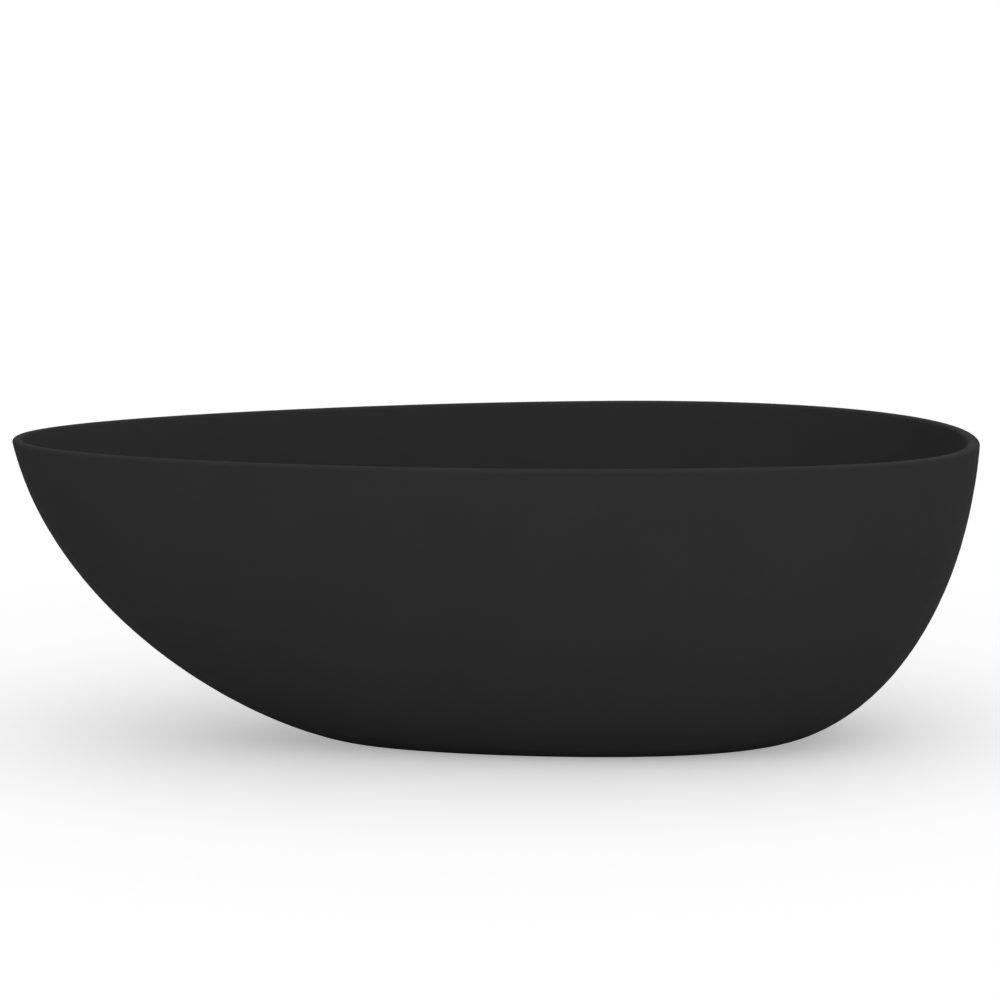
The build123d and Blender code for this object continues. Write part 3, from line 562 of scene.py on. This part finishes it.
# ---------------------------------------------------------------- frame: welds and screws
BEAD_SIDES = 8
SEAM_STEPS = 48
SEAM_RADIUS = 2.6 * MM
SEAM_START = 0.06
SEAM_SPAN = 0.88
SEAM_RIPPLE = 0.14
SEAM_RIPPLES = 9
SEAM_END_RADIUS = 0.35
SEAM_END_GROWTH = 6
NUT_WELD_STEPS = 96
NUT_WELD_RADIUS = 1.5 * MM
NUT_WELD_REACH = NUT_FLAT + 0.6 * MM
NUT_WELD_RIPPLE = 0.16
NUT_WELD_RIPPLES = 10


def weld_seam(x, rail_low, rail_high):
    """Rings of a straight bead across the underside of a rail, thin at both ends."""
    rings = []
    for step in range(SEAM_STEPS + 1):
        share = step / SEAM_STEPS
        y = rail_low[1] + (rail_high[1] - rail_low[1]) * (SEAM_START + SEAM_SPAN * share)
        ripple = 1 + SEAM_RIPPLE * abs(sin(share * SEAM_RIPPLES * pi))
        taper = min(1, SEAM_END_RADIUS + SEAM_END_GROWTH * min(share, 1 - share))
        radius = SEAM_RADIUS * ripple * taper
        points = []
        for side in range(BEAD_SIDES):
            turn = tau * side / BEAD_SIDES
            points.append(Vector((x + radius * cos(turn), y, rail_low[2] + radius * sin(turn))))
        rings.append(points)
    return rings


def nut_weld(foot_x, foot_y, level):
    """Rings of a round bead between a weld nut and the tube above it."""
    rings = []
    for step in range(NUT_WELD_STEPS):
        way = tau * step / NUT_WELD_STEPS
        radius = NUT_WELD_RADIUS * (1 + NUT_WELD_RIPPLE * abs(sin(way * NUT_WELD_RIPPLES)))
        points = []
        for side in range(BEAD_SIDES):
            turn = tau * side / BEAD_SIDES
            reach = NUT_WELD_REACH + radius * cos(turn)
            points.append(Vector((
                foot_x + reach * cos(way),
                foot_y + reach * sin(way),
                level + radius * sin(turn),
            )))
        rings.append(points)
    return rings


def make_welds():
    """Rippled weld beads: both sides of each cross tube under the rails, and round each weld nut."""
    vertices, faces = [], []
    for name in ("head", "middle", "foot"):
        tube_low, tube_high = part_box(f"cross_tube_{name}")
        for rail in ("frame_rail_front", "frame_rail_back"):
            rail_low, rail_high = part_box(rail)
            for x in (tube_low[0], tube_high[0]):
                skin(vertices, faces, weld_seam(x, rail_low, rail_high))
    nut_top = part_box("foot_weld_nuts")[1][2]
    for number in range(1, FOOT_COUNT + 1):
        skin(vertices, faces, nut_weld(*foot_middle(number), nut_top), loop=True)
    add_piece("frame_welds", vertices, faces, "tub", "frame_paint", crease=60)


SCREW_SIDES = 24
SCREW_RADIUS = 2.5 * MM
SCREW_CORE = 1.95 * MM
SCREW_PITCH = 1.6 * MM
SCREW_THREAD_ROWS = 6
SCREW_TIP_RADIUS = 0.4 * MM
SCREW_POINT_LENGTH = 1.2 * MM
SCREW_THREAD_START = 1.4 * MM
SCREW_THREAD_END = 0.8 * MM
SCREW_HEAD_RADIUS = 5.0 * MM
SCREW_HEAD_HEIGHT = 3.0 * MM
PAN_HEAD = ((0, 1.0), (0.5, 1.0), (0.8, 0.94), (0.95, 0.78), (1.0, 0.56))
RECESS_DEPTH = 1.6 * MM
RECESS_MOUTH = (0.8 * MM, 2.3 * MM)
RECESS_FLOOR = (0.5 * MM, 1.5 * MM)
BOARD_SCREW_MIDDLE_X = 200 * MM
RAIL_SCREW_SHANK = 12 * MM
TOE_SCREW_SHANK = 8 * MM
BRACKET_GAUGE = 3 * MM
TOE_SCREW_Y_HEAD = 142 * MM
TOE_SCREW_Y_FOOT = 164 * MM


def screw_rings(shank):
    """Pan-head screw with a cross recess. Its head stands on z = 0, and its thread goes down."""
    rings = [
        ring(-shank, circle(SCREW_TIP_RADIUS), SCREW_SIDES),
        ring(-shank + SCREW_POINT_LENGTH, circle(SCREW_CORE), SCREW_SIDES),
    ]
    thread_low = -shank + SCREW_THREAD_START
    rings += thread_rings(
        thread_low, -SCREW_THREAD_END, SCREW_RADIUS, SCREW_CORE, SCREW_PITCH, SCREW_SIDES, SCREW_THREAD_ROWS
    )
    rings.append(ring(0, circle(SCREW_CORE), SCREW_SIDES))
    for rise, reach in PAN_HEAD:
        rings.append(ring(SCREW_HEAD_HEIGHT * rise, circle(SCREW_HEAD_RADIUS * reach), SCREW_SIDES))
    rings.append(ring(SCREW_HEAD_HEIGHT, cross(*RECESS_MOUTH), SCREW_SIDES))
    rings.append(ring(SCREW_HEAD_HEIGHT - RECESS_DEPTH, cross(*RECESS_FLOOR), SCREW_SIDES))
    return rings


def make_board_screws():
    """Six screws, up through the rails into the board."""
    low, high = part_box("board_screws")
    rings = screw_rings(high[2] - low[2] - SCREW_HEAD_HEIGHT)
    vertices, faces = [], []
    for x in (low[0] + SCREW_HEAD_RADIUS, BOARD_SCREW_MIDDLE_X, high[0] - SCREW_HEAD_RADIUS):
        for y in (low[1] + SCREW_HEAD_RADIUS, high[1] - SCREW_HEAD_RADIUS):
            skin(vertices, faces, rings, facing((x, y, low[2] + SCREW_HEAD_HEIGHT), (0, 0, -1)))
    add_piece("cross_recess_board_screws", vertices, faces, "tub", "zinc_steel", ("board_screws",))


def make_bracket_screws():
    """Each bracket has one screw into the rail's side and one into the shell's return."""
    rail_low, rail_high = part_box("frame_rail_back")
    low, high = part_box("bracket_screws")
    rail_rings = screw_rings(RAIL_SCREW_SHANK)
    toe_rings = screw_rings(TOE_SCREW_SHANK)
    level = (rail_low[2] + rail_high[2]) / 2
    toe_level = low[2] + TOE_SCREW_SHANK
    head_x = low[0] + SCREW_HEAD_RADIUS
    foot_x = high[0] - SCREW_HEAD_RADIUS
    vertices, faces = [], []
    for x, toe_y in ((head_x, TOE_SCREW_Y_HEAD), (foot_x, TOE_SCREW_Y_FOOT)):
        for side in (-1, 1):
            head = (x, side * (rail_high[1] + BRACKET_GAUGE), level)
            skin(vertices, faces, rail_rings, facing(head, (0, side, 0)))
            skin(vertices, faces, toe_rings, facing((x, side * toe_y, toe_level), (0, 0, 1)))
    add_piece("cross_recess_bracket_screws", vertices, faces, "tub", "zinc_steel", ("bracket_screws",))


# ---------------------------------------------------------------- stopper spring
SPRING_WIRE = 0.45 * MM
SPRING_TURNS = 5
SPRING_STEPS = 36
SPRING_CLOSED_RISE = 2.05 * SPRING_WIRE
SPRING_WIRE_SIDES = 10


def make_stopper_spring():
    """Coil spring with closed ends, from the cartridge to the cap, built in one fixed shape."""
    low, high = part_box("stopper_spring")
    middle_x = (low[0] + high[0]) / 2
    middle_y = (low[1] + high[1]) / 2
    radius = (high[0] - low[0]) / 2 - SPRING_WIRE
    bottom = low[2] + SPRING_WIRE
    top = high[2] - SPRING_WIRE
    open_turns = SPRING_TURNS - 2
    open_pitch = (top - bottom - 2 * SPRING_CLOSED_RISE) / open_turns
    outward = []
    places = []
    for step in range(SPRING_TURNS * SPRING_STEPS + 1):
        turn = step / SPRING_STEPS
        turns_open = min(max(turn - 1, 0), open_turns)
        level = bottom + SPRING_CLOSED_RISE * (turn - turns_open) + open_pitch * turns_open
        outward.append(Vector((cos(tau * turn), sin(tau * turn), 0)))
        places.append(Vector((middle_x, middle_y, level)) + outward[-1] * radius)
    rings = []
    for step, place in enumerate(places):
        way = places[min(step + 1, len(places) - 1)] - places[max(step - 1, 0)]
        matrix = facing(place, way, outward[step])
        rings.append([matrix @ point for point in ring(0, circle(SPRING_WIRE), SPRING_WIRE_SIDES)])
    vertices, faces = [], []
    skin(vertices, faces, rings)
    piece = add_piece("coiled_stopper_spring", vertices, faces, None, "spring_steel", ("stopper_spring",))
    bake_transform(piece)


# ---------------------------------------------------------------- overflow hose and its clips
HOSE_ROUTE = [
    (0.8182, 0, 0.3982),
    (0.7906, 0, 0.3339),
    (0.7620, 0, 0.2620),
    (0.7000, 0, 0.1800),
    (0.6180, 0, 0.1180),
    (0.5350, 0, 0.1030),
    (0.4550, 0, 0.0985),
    (0.3760, 0, 0.0985),
]
HOSE_RADIUS = 12.0 * MM
HOSE_BORE = 9.7 * MM
HOSE_GROOVE = 1.1 * MM
HOSE_PITCH = 4.0 * MM
HOSE_SIDES = 28
ROWS_PER_RIB = 6
HOSE_LINE_ORDER = 3
HOSE_LINE_FINENESS = 48
CUFF_LENGTH = 22 * MM


def hose_line():
    """Points along the smooth line of the hose, and how far along it each one is."""
    curve = bpy.data.curves.new("hose_line", "CURVE")
    curve.dimensions = "3D"
    curve.resolution_u = HOSE_LINE_FINENESS
    spline = curve.splines.new("NURBS")
    spline.points.add(len(HOSE_ROUTE) - 1)
    for point, place in zip(spline.points, HOSE_ROUTE):
        point.co = (*place, 1)
    spline.order_u = HOSE_LINE_ORDER
    spline.use_endpoint_u = True
    holder = bpy.data.objects.new("hose_line", curve)
    mesh = bpy.data.meshes.new_from_object(holder)
    points = [vertex.co.copy() for vertex in mesh.vertices]
    bpy.data.objects.remove(holder)
    bpy.data.curves.remove(curve)
    bpy.data.meshes.remove(mesh)
    reach = [0.0]
    for before, after in zip(points, points[1:]):
        reach.append(reach[-1] + (after - before).length)
    return points, reach


def along_hose(points, reach, distance):
    """Place and direction at a distance along the line."""
    span = 0
    while span < len(points) - 2 and reach[span + 1] < distance:
        span += 1
    share = (distance - reach[span]) / (reach[span + 1] - reach[span])
    before = points[max(span - 1, 0)]
    after = points[min(span + 2, len(points) - 1)]
    return points[span].lerp(points[span + 1], share), (after - before).normalized()


def make_hose():
    """Corrugated hose with a plain cuff at each end, bored through."""
    points, reach = hose_line()
    total = reach[-1]
    rows = round(total / HOSE_PITCH) * ROWS_PER_RIB
    rings = []
    inner = []
    for row in range(rows + 1):
        distance = total * row / rows
        into_ribs = min(distance, total - distance) - CUFF_LENGTH
        depth = HOSE_GROOVE * min(1, max(0, into_ribs / HOSE_PITCH))
        radius = HOSE_RADIUS - depth * (0.5 - 0.5 * cos(tau * distance / HOSE_PITCH))
        place, way = along_hose(points, reach, distance)
        matrix = facing(place, way, (0, 1, 0))
        rings.append([matrix @ point for point in ring(0, circle(radius), HOSE_SIDES)])
        if row % ROWS_PER_RIB == 0:
            inner.append([matrix @ point for point in ring(0, circle(HOSE_BORE), HOSE_SIDES)])
    vertices, faces = [], []
    skin(vertices, faces, rings + inner[::-1], loop=True)
    add_piece(
        "corrugated_overflow_hose", vertices, faces, "tub", "hose_plastic", ("overflow_hose",), crease=50
    )
    return points, reach


CORNER_STEPS = 4


def slab(vertices, faces, matrix, size, edge):
    """Box with rounded upright corners and softened top and bottom, standing on its matrix."""
    width, depth, height = size
    corner = 2 * edge
    outline = []
    for corner_x, corner_y, start in ((1, 1, 0), (-1, 1, 1), (-1, -1, 2), (1, -1, 3)):
        for step in range(CORNER_STEPS + 1):
            turn = (start + step / CORNER_STEPS) * pi / 2
            outline.append((
                corner_x * (width / 2 - corner) + corner * cos(turn),
                corner_y * (depth / 2 - corner) + corner * sin(turn),
            ))
    rings = []
    for level, shrink in ((0, edge), (edge, 0), (height - edge, 0), (height, edge)):
        scale_x = 1 - 2 * shrink / width
        scale_y = 1 - 2 * shrink / depth
        rings.append([Vector((x * scale_x, y * scale_y, level)) for x, y in outline])
    skin(vertices, faces, rings, matrix)


CLIP_INSET = 8 * MM
BAND_SIDES = 96
BAND_HALF = 4.5 * MM
BAND_LOW = HOSE_RADIUS + 0.05 * MM
BAND_HIGH = HOSE_RADIUS + 0.75 * MM
NOTCH_DEPTH = 0.25 * MM
NOTCH_EVERY = 3
NOTCH_EDGE = BAND_HALF / 2
NOTCH_FLOOR = BAND_HALF / 2.2
HOUSING_SIZE = (8 * MM, 2 * BAND_HALF, 2.6 * MM)
HOUSING_EDGE = 0.4 * MM
HOUSING_SINK = 0.1 * MM
WORM_RISE = 1.1 * MM
WORM_START = -6.0 * MM
WORM_LENGTH = 11 * MM
WORM_RADIUS = 1.2 * MM
WORM_HEAD_FACE = 1.4 * MM
WORM_HEAD_FLAT = 1.6 * MM
WORM_HEAD_LIMIT = 1.8 * MM
WORM_HEAD_CHAMFER = 0.3 * MM
WORM_HEAD_HEIGHT = 2.2 * MM


def make_hose_clips(points, reach):
    """Worm-drive clips: a notched band, a housing and a screw with a hexagon head."""
    worm_profile = [
        (0, circle(WORM_HEAD_FACE)),
        (WORM_HEAD_CHAMFER, hexagon(WORM_HEAD_FLAT, WORM_HEAD_LIMIT)),
        (WORM_HEAD_HEIGHT, hexagon(WORM_HEAD_FLAT, WORM_HEAD_LIMIT)),
        (WORM_HEAD_HEIGHT, circle(WORM_RADIUS)),
        (WORM_LENGTH, circle(WORM_RADIUS)),
    ]
    worm_rings = [ring(level, outline, SCREW_SIDES) for level, outline in worm_profile]
    vertices, faces = [], []
    for distance in (CLIP_INSET, reach[-1] - CLIP_INSET):
        place, way = along_hose(points, reach, distance)
        matrix = facing(place, way, (0, 1, 0))
        rings = []
        for step in range(BAND_SIDES):
            turn = tau * step / BAND_SIDES
            notched = BAND_HIGH - (NOTCH_DEPTH if step % NOTCH_EVERY == 0 else 0.0)
            section = (
                (BAND_LOW, -BAND_HALF),
                (BAND_HIGH, -BAND_HALF),
                (BAND_HIGH, -NOTCH_EDGE),
                (notched, -NOTCH_FLOOR),
                (notched, NOTCH_FLOOR),
                (BAND_HIGH, NOTCH_EDGE),
                (BAND_HIGH, BAND_HALF),
                (BAND_LOW, BAND_HALF),
            )
            rings.append([
                matrix @ Vector((radius * cos(turn), radius * sin(turn), level)) for radius, level in section
            ])
        skin(vertices, faces, rings, loop=True)
        housing = matrix @ facing((BAND_HIGH - HOUSING_SINK, 0, 0), (1, 0, 0), (0, 1, 0))
        slab(vertices, faces, housing, HOUSING_SIZE, HOUSING_EDGE)
        worm = matrix @ facing((BAND_HIGH + WORM_RISE, WORM_START, 0), (0, 1, 0), (0, 0, 1))
        skin(vertices, faces, worm_rings, worm)
    add_piece("worm_drive_hose_clips", vertices, faces, "tub", "zinc_steel", ("hose_clips",), crease=30)


# ---------------------------------------------------------------- the model
make_camera()
make_lights()
make_floor()
bpy.context.scene.view_settings.view_transform = "Standard"

dress_cad_nodes()
for foot in range(1, FOOT_COUNT + 1):
    make_foot_stud(foot)
make_nuts("foot_weld_nuts", 0.0)
make_nuts("foot_lock_nuts", LOCK_NUT_TURN)
make_welds()
make_board_screws()
make_bracket_screws()
make_stopper_spring()
hose_points, hose_reach = make_hose()
make_hose_clips(hose_points, hose_reach)
